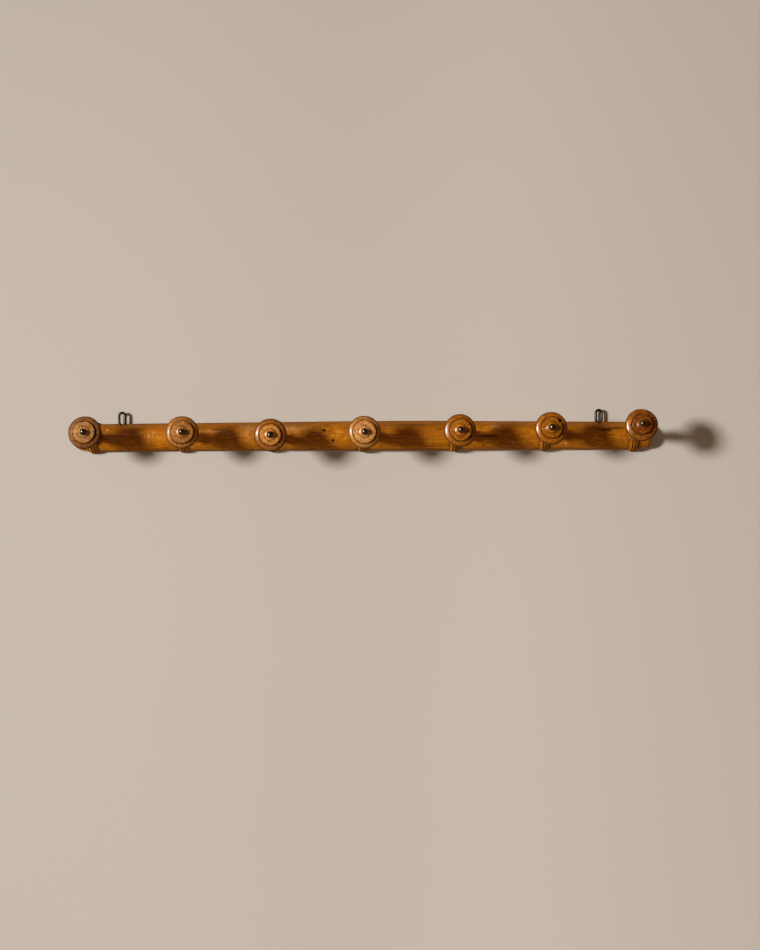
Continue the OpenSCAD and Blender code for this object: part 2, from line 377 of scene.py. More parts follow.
def add_piece(name, parts, material):
    """Puts the surfaces of one piece into a mesh, smooth but for its corners, in its frame node's place."""
    points, quads, triangles, values = zip(*parts)
    starts = np.cumsum([0] + [len(part) for part in points[:-1]])
    points = np.vstack(points)
    quads = np.vstack([part + start for part, start in zip(quads, starts)])
    triangles = np.vstack([part + start for part, start in zip(triangles, starts)])
    corners = np.concatenate((quads.ravel(), triangles.ravel()))
    sizes = np.concatenate((np.full(len(quads), 4), np.full(len(triangles), 3)))
    mesh = bpy.data.meshes.new(name)
    mesh.vertices.add(len(points))
    mesh.vertices.foreach_set("co", points.ravel())
    mesh.loops.add(len(corners))
    mesh.loops.foreach_set("vertex_index", corners)
    mesh.polygons.add(len(sizes))
    mesh.polygons.foreach_set("loop_start", np.cumsum(sizes) - sizes)
    mesh.polygons.foreach_set("use_smooth", np.ones(len(sizes), bool))
    for key in values[0]:
        numbers = np.vstack([part[key] for part in values])
        vector = numbers.shape[1] == 3
        layer = mesh.attributes.new(key, "FLOAT_VECTOR" if vector else "FLOAT", "POINT")
        layer.data.foreach_set("vector" if vector else "value", numbers.ravel())
    mesh.update(calc_edges=True)
    if mesh.validate(verbose=False):
        raise RuntimeError(f"the mesh of {name} has faults")
    mesh.set_sharp_from_angle(angle=SHARP_ANGLE)
    mesh.materials.append(material)
    piece = bpy.data.objects.new(name, mesh)
    bpy.context.scene.collection.objects.link(piece)
    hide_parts(name)
    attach(piece, "root")


# The rail, with the rows and columns of its grid

PLAIN_ROWS = 420
NODE_ROWS = 34
HOLE_ROWS = 16
DOME_ROWS = 30
TRIM_ROWS = 14
FACE_ROWS = 8
FRONT_COLUMNS = 108
BACK_COLUMNS = 8
ROW_SAMPLES = 20001

# The two old pin holes: place along the rail and height on it, and the reach of their dust and painted shade
# over their radius
HOLES = ((-0.0631, 0.0092), (-0.0493, -0.0090))
HOLE_DIRT_AND_SHADE = 1.15

# Angles above the front between which painted shade darkens the rail's upper side
TOP_SHADE_FROM = math.radians(6)
TOP_SHADE_TO = math.radians(42)

# A point that faces forward less than this lies on the planed back
LEAST_FRONTNESS = 1e-6

# Planing waves: phase per metre along the rail, per radian round it and at the start, then height
PLANING = ((61, 2.1, 0, 1), (143, -3.7, 1, 0.7), (311, 0, 5, 0.4))

# Dust over a whole crown, the width of the dust and painted shade in a line over the line's radius, and
# their gap from a collar or a ball
CROWN_FILM = 0.35
LINE_DIRT_AND_SHADE = 1.4
DIRT_AND_SHADE_GAP = 0.0004


def barrel(x, rail, pegs_x):
    """Plain radius: a base with a bell-shaped belly, less a straight taper beyond the outer nodes."""
    belly = rail.belly_rise * bell(x - rail.belly_at, rail.belly_spread)
    reach = rail.crown_width / 2 + rail.flare_length
    left = (pegs_x[0] - reach - x) / (pegs_x[0] - reach - LEFT_TIP - rail.dome_length)
    right = (x - pegs_x[-1] - reach) / (RIGHT_TIP - pegs_x[-1] - reach)
    return rail.radius + belly - rail.end_taper * (np.clip(left, 0, 1) + np.clip(right, 0, 1))


def rail_radius(x, rail, pegs_x):
    """The barrel, raised at each node to a crown between smooth flares, less the two incised lines.

    The crown falls with the fourth power of the distance from its middle, and a line is cut by a circle.
    """
    radius = barrel(x, rail, pegs_x)
    plain = radius.copy()
    for centre in pegs_x:
        away = np.abs(x - centre)
        top = barrel(np.array(centre), rail, pegs_x) + rail.crown_rise
        on_crown = 1 - smooth_step(np.clip((away - rail.crown_width / 2) / rail.flare_length, 0, 1))
        fall = rail.crown_drop * np.clip(away / (rail.crown_width / 2), 0, 1) ** 4
        cut = np.sqrt(np.clip(rail.line_radius**2 - (away - rail.line_spacing / 2) ** 2, 0, None))
        radius += (top - fall - plain) * on_crown - cut
    return radius


def rail_stations(rail, pegs_x):
    """Places along the rail between dome and trim, closest at the nodes and the pin holes."""
    x = np.linspace(LEFT_TIP + rail.dome_length, RIGHT_TIP - rail.trim_round, ROW_SAMPLES)
    density = np.full_like(x, PLAIN_ROWS / (x[-1] - x[0]))
    node_width = rail.crown_width / 2 + rail.flare_length
    for centre in pegs_x:
        density += NODE_ROWS / (2 * node_width) * (np.abs(x - centre) < node_width)
    for centre, _ in HOLES:
        density += HOLE_ROWS / (4 * rail.hole_radius) * (np.abs(x - centre) < 2 * rail.hole_radius)
    travelled = np.concatenate(([0], np.cumsum((density[1:] + density[:-1]) / 2 * np.diff(x))))
    return np.interp(np.linspace(0, travelled[-1], int(travelled[-1])), travelled, x)


def rail_outline(rail, pegs_x):
    """Rows of (place along the rail, radius): quarter-ellipse dome, stations, round trim and flat end."""
    dome_start = LEFT_TIP + rail.dome_length
    angle = np.radians(np.linspace(90, 0, DOME_ROWS, endpoint=False)[::-1])
    base = barrel(np.array(dome_start), rail, pegs_x)
    dome = np.column_stack((dome_start - rail.dome_length * np.cos(angle), base * np.sin(angle)))[:-1]
    stations = rail_stations(rail, pegs_x)
    body = np.column_stack((stations, rail_radius(stations, rail, pegs_x)))
    turn = np.radians(np.linspace(0, 90, TRIM_ROWS))[1:]
    end = body[-1, 1] - rail.trim_round
    trim_x = body[-1, 0] + rail.trim_round * np.sin(turn)
    trim = np.column_stack((trim_x, end + rail.trim_round * np.cos(turn)))
    inward = end * np.linspace(1, 0, FACE_ROWS + 2)[1:-1]
    face = np.column_stack((np.full(FACE_ROWS, RIGHT_TIP), inward))
    return np.vstack((dome, body, trim, face))


def rail_section():
    """One closed section of radius 1 as (y, z): the half circle in front, then the flat back."""
    angle = np.radians(np.linspace(90, 270, FRONT_COLUMNS + 1))
    front = np.column_stack((np.cos(angle), np.sin(angle)))
    front[[0, -1], 0] = 0
    back = np.column_stack((np.zeros(BACK_COLUMNS - 1), np.linspace(-1, 1, BACK_COLUMNS + 1)[1:-1]))
    return np.vstack((front, back))


def rail_surface(rail, pegs):
    """The rail's grid: section times radius, with planing waves, pin holes and the bow, and its masks.

    A hole's depth is e to the minus fourth power of the distance, and the bow is a parabola along the rail.
    Hands rub the upper front most: frontness times 1 plus half the sine of the angle, to the power 1.5.
    """
    pegs_x = peg_places(pegs)
    outline, section = rail_outline(rail, pegs_x), rail_section()
    x = np.repeat(outline[:, :1], len(section), axis=1)
    frontness = -section[None, :, 0]
    around = np.arctan2(section[:, 1], frontness[0])[None, :]
    waves = sum(tall * np.sin(along * x + turn * around + start) for along, turn, start, tall in PLANING)
    radius = outline[:, 1:] + rail.unevenness * waves * frontness
    z = radius * section[None, :, 1]
    dirt_and_shade = np.zeros_like(x)
    for hole_x, hole_z in HOLES:
        away = np.hypot(x - hole_x, z - hole_z) / rail.hole_radius
        radius = radius - rail.hole_depth * np.exp(-(away**4)) * (frontness > 0)
        dirt_and_shade = np.maximum(dirt_and_shade, np.exp(-((away / HOLE_DIRT_AND_SHADE) ** 6)) * (frontness > 0))
    y = radius * section[None, :, 0]
    z = radius * section[None, :, 1]
    half_span = (RIGHT_TIP - LEFT_TIP) / 2
    rise = rail.bow * (1 - 2 * ((x - LEFT_TIP - half_span) / half_span) ** 2)
    grid = np.stack((x, y, z + rise * np.clip(outline[:, 1:] / rail.radius, 0, 1)), axis=-1)
    # A mask of painted shade on the upper side, rising between the two angles above the front
    painted_top_shade = smooth_step(np.clip((around - TOP_SHADE_FROM) / (TOP_SHADE_TO - TOP_SHADE_FROM), 0, 1)) * (frontness > 0)
    rubbed = np.clip(frontness * (1 + 0.5 * np.sin(around)), 0, 1) ** 1.5
    return grid, np.maximum(dirt_and_shade, rail_dirt_and_shade(grid, rail, pegs, pegs_x)), frontness, painted_top_shade, rubbed


def rail_dirt_and_shade(grid, rail, pegs, pegs_x):
    """Dust and painted shade in the incised lines, at the flares' feet, along the edges and round each
    collar, from 0 to 1.
    """
    # Painted shade and dust towards the back, along the edges where the rail meets the wall
    dirt_and_shade = dirt_and_shade_bell(grid[..., 1], "rail edge")
    for index, centre in enumerate(pegs_x):
        away = np.abs(grid[..., 0] - centre)
        # Dust and painted shade in the incised lines
        line = bell(away - rail.line_spacing / 2, LINE_DIRT_AND_SHADE * rail.line_radius)
        film = CROWN_FILM * (away < rail.crown_width / 2)
        root = dirt_and_shade_bell(away - rail.crown_width / 2 - rail.flare_length, "flare foot")
        foot, axes = peg_axes(pegs, index)
        local = (grid - foot) @ axes
        # Painted contact shade and dust round each collar's foot
        from_collar = np.hypot(local[..., 0], local[..., 1]) - pegs.collar_radius - DIRT_AND_SHADE_GAP
        dirt_and_shade = np.maximum.reduce((dirt_and_shade, line, film, root, dirt_and_shade_bell(from_collar, "collar")))
    return dirt_and_shade


class RACK_OT_rail(bpy.types.Operator):
    """Make the varnished half-round rail with its bamboo nodes"""

    bl_idname = "rack.rail"
    bl_label = "Rail"

    def execute(self, context):
        """Closes the rail's grid with a pole at each tip and gives it its masks."""
        grid, dirt_and_shade, frontness, painted_top_shade, rubbed = rail_surface(context.scene.rack_rail, context.scene.rack_pegs)
        bare = np.where(frontness > LEAST_FRONTNESS, 0.0, 1.0)
        attributes = {"dirt_and_shade": dirt_and_shade, "bare": bare, "painted_top_shade": painted_top_shade, "rubbed": rubbed}
        attributes = {name: np.broadcast_to(value, dirt_and_shade.shape) for name, value in attributes.items()}
        tips = np.array(((LEFT_TIP, 0, 0), (RIGHT_TIP, 0, 0)))
        part = skin(grid, attributes, poles=tips)
        add_piece("rail", [part], rail_varnish(context.scene.rack_finish))
        return {"FINISHED"}


# The turned pegs, in frames of their own: Z runs along the peg, from the wall outward

BORE_GAP = 0.0001
PROFILE_SPACING = 0.0009
RING_POINTS = 17

# Dirt on a collar's top lies round this radius, in a bell of this half width
COLLAR_HOLLOW = 0.0098
COLLAR_HOLLOW_WIDTH = 0.002

# How far the pattern moves from one peg to the next: the grain along and across, and the turning rings
GRAIN_STEP = (0.37, 0.11)
RINGS_STEP = 0.07


def stem_heights(pegs, knobs):
    """Heights of the collar's top, of the ring's middle, which is halfway, and of the knob's seat."""
    collar_top = pegs.seat_reach + pegs.collar_height
    seat = knobs.reach - knobs.back
    return collar_top, (collar_top + seat) / 2, seat


def stem_profile(pegs, knobs):
    """Tenon, collar, waist, ring, second waist, flare and spigot, then down the screw's pilot hole."""
    collar_top, middle, seat = stem_heights(pegs, knobs)
    ring_low, ring_high = middle - pegs.ring_width / 2, middle + pegs.ring_width / 2
    bulge = np.radians(np.linspace(0, 180, RING_POINTS))
    ring = np.column_stack((
        pegs.waist_radius + (pegs.ring_radius - pegs.waist_radius) * np.sin(bulge),
        middle - pegs.ring_width / 2 * np.cos(bulge),
    ))
    low_waist = (pegs.waist_radius, (collar_top + ring_low) / 2)
    high_waist = (pegs.waist_radius, (ring_high + seat) / 2)
    tip, chamfer = pegs.tenon_backing, pegs.tip_chamfer
    collar_inner = pegs.collar_radius - pegs.collar_round
    spigot_top = seat + pegs.spigot_length
    bore = knobs.shank_radius + BORE_GAP
    bore_floor = knobs.boss_reach - knobs.shank_length - chamfer
    return np.vstack((
        [(pegs.tenon_radius - chamfer, tip), (pegs.tenon_radius, tip + chamfer)],
        [(pegs.tenon_radius, pegs.seat_reach), (pegs.collar_radius, pegs.seat_reach)],
        arc((collar_inner, collar_top - pegs.collar_round), pegs.collar_round, 0, 90),
        passage((collar_inner - pegs.collar_round, collar_top), low_waist),
        ring,
        passage(high_waist, (pegs.flare_radius, seat - pegs.flare_edge)),
        [(pegs.flare_radius, seat), (pegs.spigot_radius, seat), (pegs.spigot_radius, spigot_top)],
        [(bore, spigot_top), (bore, bore_floor)],
    ))


def stem_dirt_and_shade(profile, pegs, knobs):
    """The sum of bells of dust and painted shade at the collar's seat and top, at both edges of the ring and
    under the knob.
    """
    radius, height = profile[:, 0], profile[:, 1]
    collar_top, middle, seat = stem_heights(pegs, knobs)
    dirt_and_shade = dirt_and_shade_bell(height - pegs.seat_reach, "collar seat") * (radius > pegs.tenon_radius)
    dirt_and_shade += dirt_and_shade_bell(height - collar_top, "collar top") * bell(radius - COLLAR_HOLLOW, COLLAR_HOLLOW_WIDTH)
    for edge in (middle - pegs.ring_width / 2, middle + pegs.ring_width / 2):
        dirt_and_shade += dirt_and_shade_bell(height - edge, "ring edge")
    dirt_and_shade += dirt_and_shade_bell(height - seat, "stem end")
    return np.clip(dirt_and_shade, 0, 1)


def rim_arcs(knobs, inner):
    """Behind the rim, round its edge, then a long slope, tangent to the edge, down to the inner radius."""
    edge, slope = knobs.rim_edge, knobs.rim_slope
    turn = math.degrees(knobs.rim_turn)
    centre = (
        knobs.radius - edge + (edge - slope) * math.cos(knobs.rim_turn),
        knobs.reach + (edge - slope) * math.sin(knobs.rim_turn),
    )
    last = math.degrees(math.acos((inner - centre[0]) / slope))
    return np.vstack((
        arc((knobs.radius - knobs.rim_round, knobs.reach), knobs.rim_round, -80, 0, steps=18),
        arc((knobs.radius - edge, knobs.reach), edge, 0, turn, steps=14),
        arc(centre, slope, turn, last, steps=14),
    ))


def ball_seat_radius(knobs):
    """Radius of the circle in which the ball meets the boss: the ball's, cut at its lift."""
    return knobs.ball_radius * math.sqrt(1 - knobs.ball_lift**2)


def boss_dome(knobs, inner):
    """The dome of the boss, an arc from its foot to the inner radius, where the ball sits."""
    first, last = (math.acos(radius / knobs.boss_curve) for radius in (knobs.boss_radius, inner))
    centre = (0, knobs.boss_reach - knobs.boss_curve * math.sin(last))
    return arc(centre, knobs.boss_curve, math.degrees(first), math.degrees(last))


def knob_profile(pegs, knobs, groove_radius):
    """Seat, swept back, sloped rim, groove, disc and domed boss, then down the bore: a closed outline."""
    seat = knobs.reach - knobs.back
    rim = knobs.radius - knobs.rim_round
    rim_front = knobs.reach + knobs.rim_round
    floor = rim_front - knobs.groove_depth
    disc_edge = groove_radius - knobs.groove_half
    disc_top = rim_front + knobs.disc_height
    spigot, bore = pegs.spigot_radius + BORE_GAP, knobs.shank_radius + BORE_GAP
    spigot_top = seat + pegs.spigot_length + BORE_GAP
    return np.vstack((
        [(spigot, seat), (pegs.flare_radius, seat)],
        passage((pegs.flare_radius, seat + pegs.flare_edge), (rim, knobs.reach - knobs.rim_round), steps=16),
        rim_arcs(knobs, groove_radius + 2 * knobs.groove_half),
        [(groove_radius + knobs.groove_half, floor), (disc_edge, floor)],
        arc((disc_edge - knobs.disc_round, disc_top - knobs.disc_round), knobs.disc_round, 0, 80, steps=10),
        boss_dome(knobs, ball_seat_radius(knobs) + knobs.groove_half),
        [(bore, knobs.boss_reach), (bore, spigot_top), (spigot, spigot_top)],
    ))


def screw_profile(knobs):
    """Point, shank and ball head from the screw's tip to its crown."""
    seat = knobs.boss_reach
    centre = seat + knobs.ball_lift * knobs.ball_radius
    low = -math.degrees(math.asin(knobs.ball_lift))
    tip = seat - knobs.shank_length
    return np.vstack((
        [(knobs.shank_radius, tip + 2 * knobs.shank_radius), (knobs.shank_radius, seat)],
        arc((0, centre), knobs.ball_radius, low, 88, steps=26),
    ))


def place_on_peg(pegs, index, local):
    """Carries points from a peg's own frame into the rack's: axes times the point, plus the foot."""
    foot, axes = peg_axes(pegs, index)
    return local @ axes.T + foot


def own_grain(index, local):
    """Coordinates whose X runs along the peg and which differ from peg to peg, for the grain."""
    along, across = (step * index for step in GRAIN_STEP)
    return np.stack((local[..., 2] + along, local[..., 0] + across, local[..., 1]), axis=-1)


def turn_for_pegs(pegs, prefix, profile, dirt_and_shade, ends, segments, material):
    """Revolves one profile, closes it at the heights of its two ends, and carries it to every peg."""
    local = revolve(profile, segments)
    dirt_and_shade = np.repeat(dirt_and_shade[:, None], segments, axis=1)
    poles = np.array([(0, 0, height) for height in ends])
    for index in range(PEG_COUNT):
        attributes = {"dirt_and_shade": dirt_and_shade, "grain": own_grain(index, local)}
        part = skin(place_on_peg(pegs, index, local), attributes, place_on_peg(pegs, index, poles))
        add_piece(f"{prefix}{index + 1}", [part], material)


class RACK_OT_stems(bpy.types.Operator):
    """Turn the seven peg stems"""

    bl_idname = "rack.stems"
    bl_label = "Peg stems"

    def execute(self, context):
        """Turns the stem's profile, which ends at the tenon's tip and at the floor of the pilot hole."""
        pegs, knobs = context.scene.rack_pegs, context.scene.rack_knobs
        material = stem_varnish(context.scene.rack_finish)
        profile = refine(stem_profile(pegs, knobs), PROFILE_SPACING)
        dirt_and_shade = stem_dirt_and_shade(profile, pegs, knobs)
        ends = (pegs.tenon_backing, knobs.boss_reach - knobs.shank_length - 2 * pegs.tip_chamfer)
        turn_for_pegs(pegs, "peg_stem_", profile, dirt_and_shade, ends, pegs.segments, material)
        return {"FINISHED"}


# Waves round a knob that make it out of round: how many, their turn from knob to knob, and their height
KNOB_WAVES = ((2, 1, 1), (3, 2.3, 0.6), (7, 0, 0.3))

# Scars on the knobs: knob, angle in degrees, place, half length along the radius, half width and depth
SCARS = (
    (5, 40, 0.0183, 0.0042, 0.0027, 0.0028),
    (5, 58, 0.0172, 0.0008, 0.0046, 0.0006),
    (2, -38, 0.0192, 0.0030, 0.0009, 0.0010),
    (4, -74, 0.0120, 0.0034, 0.0005, 0.0003),
    (4, -88, 0.0128, 0.0036, 0.0005, 0.0003),
    (4, -101, 0.0124, 0.0030, 0.0005, 0.0003),
    (4, -117, 0.0118, 0.0026, 0.0005, 0.0003),
    (4, -32, 0.0196, 0.0028, 0.0016, 0.0006),
    (0, 96, 0.0168, 0.0010, 0.0030, 0.0003),
)
SCAR_DIRT_AND_SHADE = 2.2

# Dust and painted shade in the grooves start this share of the rim's rounding in front of the widest section
FRONT_FROM = 0.3


def out_of_round(knobs, index, radius, angle):
    """The sum of the knob's waves, which grow with the cube of the radius."""
    wave = sum(tall * np.sin(count * angle + turn * index) for count, turn, tall in KNOB_WAVES)
    return knobs.wobble * wave * (radius / knobs.radius) ** 3


def scar_mask(index, local):
    """Depth of the scars at each point, and their dust and painted shade: a squared bell along the radius
    times a bell across.
    """
    depth, dirt_and_shade = np.zeros(local.shape[:2]), np.zeros(local.shape[:2])
    for knob, angle, at, half_length, half_width, deep in SCARS:
        if knob != index:
            continue
        turn = math.radians(angle)
        along = local[..., 0] * math.cos(turn) + local[..., 1] * math.sin(turn) - at
        across = local[..., 1] * math.cos(turn) - local[..., 0] * math.sin(turn)
        mask = bell(along, half_length) ** 2 * bell(across, half_width)
        depth = np.maximum(depth, deep * mask)
        dirt_and_shade = np.maximum(dirt_and_shade, np.clip(SCAR_DIRT_AND_SHADE * mask, 0, 1))
    return depth, dirt_and_shade


def knob_dirt_and_shade(profile, knobs, groove_radius):
    """Dust and painted shade in the groove, at the boss's foot, round the ball and at the seat, and painted
    shade on the rim's widest line.
    """
    radius, height = profile[:, 0], profile[:, 1]
    front = height > knobs.reach + knobs.rim_round * FRONT_FROM
    from_groove, from_boss = radius - groove_radius, radius - knobs.boss_radius
    groove = np.maximum(dirt_and_shade_bell(from_groove, "groove"), dirt_and_shade_bell(from_groove, "beside groove"))
    boss = np.maximum(dirt_and_shade_bell(from_boss, "boss foot"), dirt_and_shade_bell(from_boss, "beside boss"))
    ball = dirt_and_shade_bell(radius - ball_seat_radius(knobs) - DIRT_AND_SHADE_GAP, "ball")
    # A dark line of painted shade round the rim's widest line, where the rim turns away from the light
    rim = dirt_and_shade_bell(radius - knobs.radius, "rim") * (height > knobs.reach - knobs.rim_round)
    seat = dirt_and_shade_bell(height - knobs.reach + knobs.back, "knob seat")
    return np.clip((groove + boss + ball) * front + rim + seat, 0, 1)


class RACK_OT_knobs(bpy.types.Operator):
    """Turn the seven knobs, each with its own colour and scars"""

    bl_idname = "rack.knobs"
    bl_label = "Knobs"

    def execute(self, context):
        """Revolves each knob's own profile, a little out of round, and presses its scars in."""
        pegs, knobs = context.scene.rack_pegs, context.scene.rack_knobs
        for index in range(PEG_COUNT):
            groove_radius = knobs.groove_radius[index]
            profile = refine(knob_profile(pegs, knobs, groove_radius), PROFILE_SPACING, closed=True)
            local = revolve(profile, pegs.segments, partial(out_of_round, knobs, index))
            depth, scars = scar_mask(index, local)
            facing = profile[:, 1:] > knobs.reach
            local[..., 2] -= depth * facing
            away = np.hypot(local[..., 0], local[..., 1])
            attributes = {
                "dirt_and_shade": np.maximum(knob_dirt_and_shade(profile, knobs, groove_radius)[:, None], scars * facing),
                "grain": own_grain(index, local),
                "turned": away + RINGS_STEP * index,
                "rim": np.clip((away - groove_radius) / knobs.groove_half, 0, 1),
            }
            part = skin(place_on_peg(pegs, index, local), attributes)
            material = knob_varnish(context.scene.rack_finish, index)
            add_piece(f"peg_knob_{index + 1}", [part], material)
        return {"FINISHED"}


class RACK_OT_screws(bpy.types.Operator):
    """Make the seven knob screws with their ball heads"""

    bl_idname = "rack.screws"
    bl_label = "Knob screws"

    def execute(self, context):
        """Turns the screw's profile, which ends at its point and at the ball's crown."""
        pegs, knobs = context.scene.rack_pegs, context.scene.rack_knobs
        material = ball_steel(context.scene.rack_finish)
        profile = refine(screw_profile(knobs), PROFILE_SPACING)
        seat = knobs.boss_reach
        dirt_and_shade = dirt_and_shade_bell(profile[:, 1] - seat, "screw")
        ends = (seat - knobs.shank_length, seat + (1 + knobs.ball_lift) * knobs.ball_radius)
        turn_for_pegs(pegs, "knob_screw_", profile, dirt_and_shade, ends, pegs.segments // 2, material)
        return {"FINISHED"}


# The hanging eyes, with the points of each bend and the shank's radius where it ends in the ring

BEND_POINTS = 29
SHANK_SPACING = 0.0012
SHANK_END = 0.8


def eye_path(low, high, eyes):
    """The ring's centre line as points and side directions: two half circles joined by straight legs."""
    radius = (high.x - low.x) / 2 - eyes.wire_radius
    centre_x, y = (low.x + high.x) / 2, (low.y + high.y) / 2
    top = high.z - eyes.wire_radius - radius
    bottom = high.z - eyes.height + eyes.wire_radius + radius
    halves = (np.linspace(0, 180, BEND_POINTS), np.linspace(180, 360, BEND_POINTS))
    angle = np.radians(np.concatenate(halves))
    middle = np.repeat((top, bottom), BEND_POINTS)
    outward = np.column_stack((np.cos(angle), np.zeros_like(angle), np.sin(angle)))
    x, z = centre_x + radius * outward[:, 0], middle + radius * outward[:, 2]
    return np.column_stack((x, np.full_like(angle, y), z)), outward


def eye_ring(low, high, eyes):
    """Wire round the path: centre plus the wire's radius times cos a outward and sin a sideways."""
    points, outward = eye_path(low, high, eyes)
    angle = np.arange(eyes.segments) * 2 * math.pi / eyes.segments
    side = np.array((0.0, 1.0, 0.0))
    offset = outward[:, None, :] * np.cos(angle)[None, :, None] + side * np.sin(angle)[None, :, None]
    return points[:, None, :] + eyes.wire_radius * offset


def eye_shank(foot, eyes):
    """The shank's grid and poles: a cylinder from its point up into the foot of the ring."""
    wire = eyes.wire_radius
    tip = foot.z - eyes.shank
    turned = np.array(((wire, tip + 3 * wire), (wire, foot.z), (wire * SHANK_END, foot.z + wire)))
    grid = revolve(refine(turned, SHANK_SPACING), eyes.segments) + np.array((foot.x, foot.y, 0))
    return grid, np.array(((foot.x, foot.y, tip), (foot.x, foot.y, foot.z + wire)))


class RACK_OT_eyes(bpy.types.Operator):
    """Bend the two steel screw eyes that the rack hangs from"""

    bl_idname = "rack.eyes"
    bl_label = "Hanging eyes"

    def execute(self, context):
        """Makes each eye of a ring, which hangs from the top of its node's box, and a shank."""
        eyes = context.scene.rack_eyes
        material = eye_steel(context.scene.rack_finish)
        for name in ("hanging_eye_left", "hanging_eye_right"):
            low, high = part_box(name)
            foot = Vector(((low.x + high.x) / 2, (low.y + high.y) / 2, high.z - eyes.height))
            ring = eye_ring(low, high, eyes)
            shank, poles = eye_shank(foot, eyes)
            parts = [
                # Dust and painted contact shade where the ring meets the wood
                skin(ring, {"dirt_and_shade": dirt_and_shade_bell(ring[..., 2] - foot.z, "eye foot")}),
                skin(shank, {"dirt_and_shade": np.full(shank.shape[:2], DIRT_AND_SHADE["eye foot"][1])}, poles),
            ]
            add_piece(name, parts, material)
        return {"FINISHED"}


# Finishes: small shader groups that several materials share, then one material for each finish


class Graph:
    """Short calls that add nodes to a tree and join them."""

    def __init__(self, tree):
        self.tree = tree

    def feed(self, node, inputs):
        """Fills a node's inputs: a value that is a socket is linked, and any other is set."""
        for key, value in inputs.items():
            if isinstance(value, bpy.types.NodeSocket):
                self.tree.links.new(value, node.inputs[key])
            else:
                node.inputs[key].default_value = value

    def add(self, kind, inputs=None, **settings):
        """A new node with these settings and inputs."""
        node = self.tree.nodes.new(kind)
        for key, value in settings.items():
            setattr(node, key, value)
        self.feed(node, inputs or {})
        return node

    def maths(self, operation, a, b):
        """The result of one operation on two values."""
        return self.add("ShaderNodeMath", {0: a, 1: b}, operation=operation).outputs[0]

    def times(self, a, b):
        """a times b."""
        return self.maths("MULTIPLY", a, b)

    def less(self, a, b):
        """a less b."""
        return self.maths("SUBTRACT", a, b)

    def most(self, a, b):
        """The greater of a and b."""
        return self.maths("MAXIMUM", a, b)

    def vector_maths(self, operation, a, b):
        """The vector that one operation on two vectors gives."""
        return self.add("ShaderNodeVectorMath", {0: a, 1: b}, operation=operation).outputs[0]

    def ramp(self, value, low, high, start=0.0, end=1.0):
        """A straight ramp: start at low, end at high, and level outside them."""
        limits = {"Value": value, "From Min": low, "From Max": high, "To Min": start, "To Max": end}
        return self.add("ShaderNodeMapRange", limits).outputs["Result"]

    def mix(self, factor, a, b, blend="MIX"):
        """Colour a turned into colour b by the factor, or blended with it."""
        sockets = {0: factor, 6: a, 7: b}
        return self.add("ShaderNodeMix", sockets, data_type="RGBA", blend_type=blend).outputs[2]

    def layer(self, under, mask, strength, tint):
        """The tint laid over a colour where the mask is 1, at the given strength."""
        return self.mix(self.times(mask, strength), under, tint)

    def noise(self, vector, scale, detail, distortion=0.0):
        """Smooth noise from 0 to 1, with this many waves in a metre."""
        sockets = {"Vector": vector, "Scale": scale, "Detail": detail, "Distortion": distortion}
        return self.add("ShaderNodeTexNoise", sockets).outputs["Fac"]

    def scaled(self, vector, scale):
        """The vector with each of its parts multiplied."""
        return self.add("ShaderNodeMapping", {"Vector": vector, "Scale": scale}).outputs["Vector"]

    def attribute(self, name, output="Fac"):
        """The value that a surface stores at its points."""
        return self.add("ShaderNodeAttribute", attribute_name=name).outputs[output]

    def peg_vector(self):
        """Place along and across the peg that a point belongs to."""
        return self.attribute("grain", "Vector")

    def object_vector(self):
        """Place in the rack's frame."""
        return self.add("ShaderNodeTexCoord").outputs["Object"]

    def relief(self, height, strength, distance):
        """The normal of a surface raised by distance times the height."""
        values = {"Strength": strength, "Distance": distance, "Height": height}
        return self.add("ShaderNodeBump", values).outputs["Normal"]


def new_group(name, sockets, outputs):
    """A shader group with these inputs and outputs: its graph, the inputs as seen inside, and the group."""
    tree = bpy.data.node_groups.new(name, "ShaderNodeTree")
    for key, kind, default in sockets:
        socket = tree.interface.new_socket(key, in_out="INPUT", socket_type=kind)
        if default is not None:
            socket.default_value = default
    for key in outputs:
        tree.interface.new_socket(key, in_out="OUTPUT", socket_type="NodeSocketFloat")
    graph = Graph(tree)
    inside = graph.add("NodeGroupInput").outputs
    return graph, inside, tree


def wood_grain_group():
    """Fibres, broad bands and short dark pores along X, as shares from 0 to 1: noise drawn out along X."""
    sockets = (
        ("Vector", "NodeSocketVector", None),
        ("Fineness", "NodeSocketFloat", 700.0),
        ("Bend", "NodeSocketFloat", 0.004),
    )
    graph, inside, tree = new_group("Wood grain", sockets, ("Fibre", "Band", "Pore"))
    drift = graph.noise(graph.scaled(inside["Vector"], (4, 18, 18)), 1.0, 2.0)
    pushed = graph.times(graph.less(drift, 0.5), inside["Bend"])
    shift = graph.add("ShaderNodeCombineXYZ", {1: pushed, 2: pushed}).outputs[0]
    bent = graph.vector_maths("ADD", inside["Vector"], shift)
    fibre = graph.noise(graph.scaled(bent, (0.22, 1, 1)), inside["Fineness"], 5.0)
    band = graph.noise(graph.scaled(bent, (7, 110, 110)), 1.0, 3.0)
    pore = graph.noise(graph.scaled(bent, (0.07, 1, 1)), graph.times(inside["Fineness"], 1.9), 1.0)
    outputs = {
        "Fibre": graph.ramp(fibre, 0.33, 0.67),
        "Band": graph.ramp(band, 0.36, 0.64),
        "Pore": graph.ramp(pore, 0.66, 0.74),
    }
    graph.add("NodeGroupOutput", outputs)
    return tree


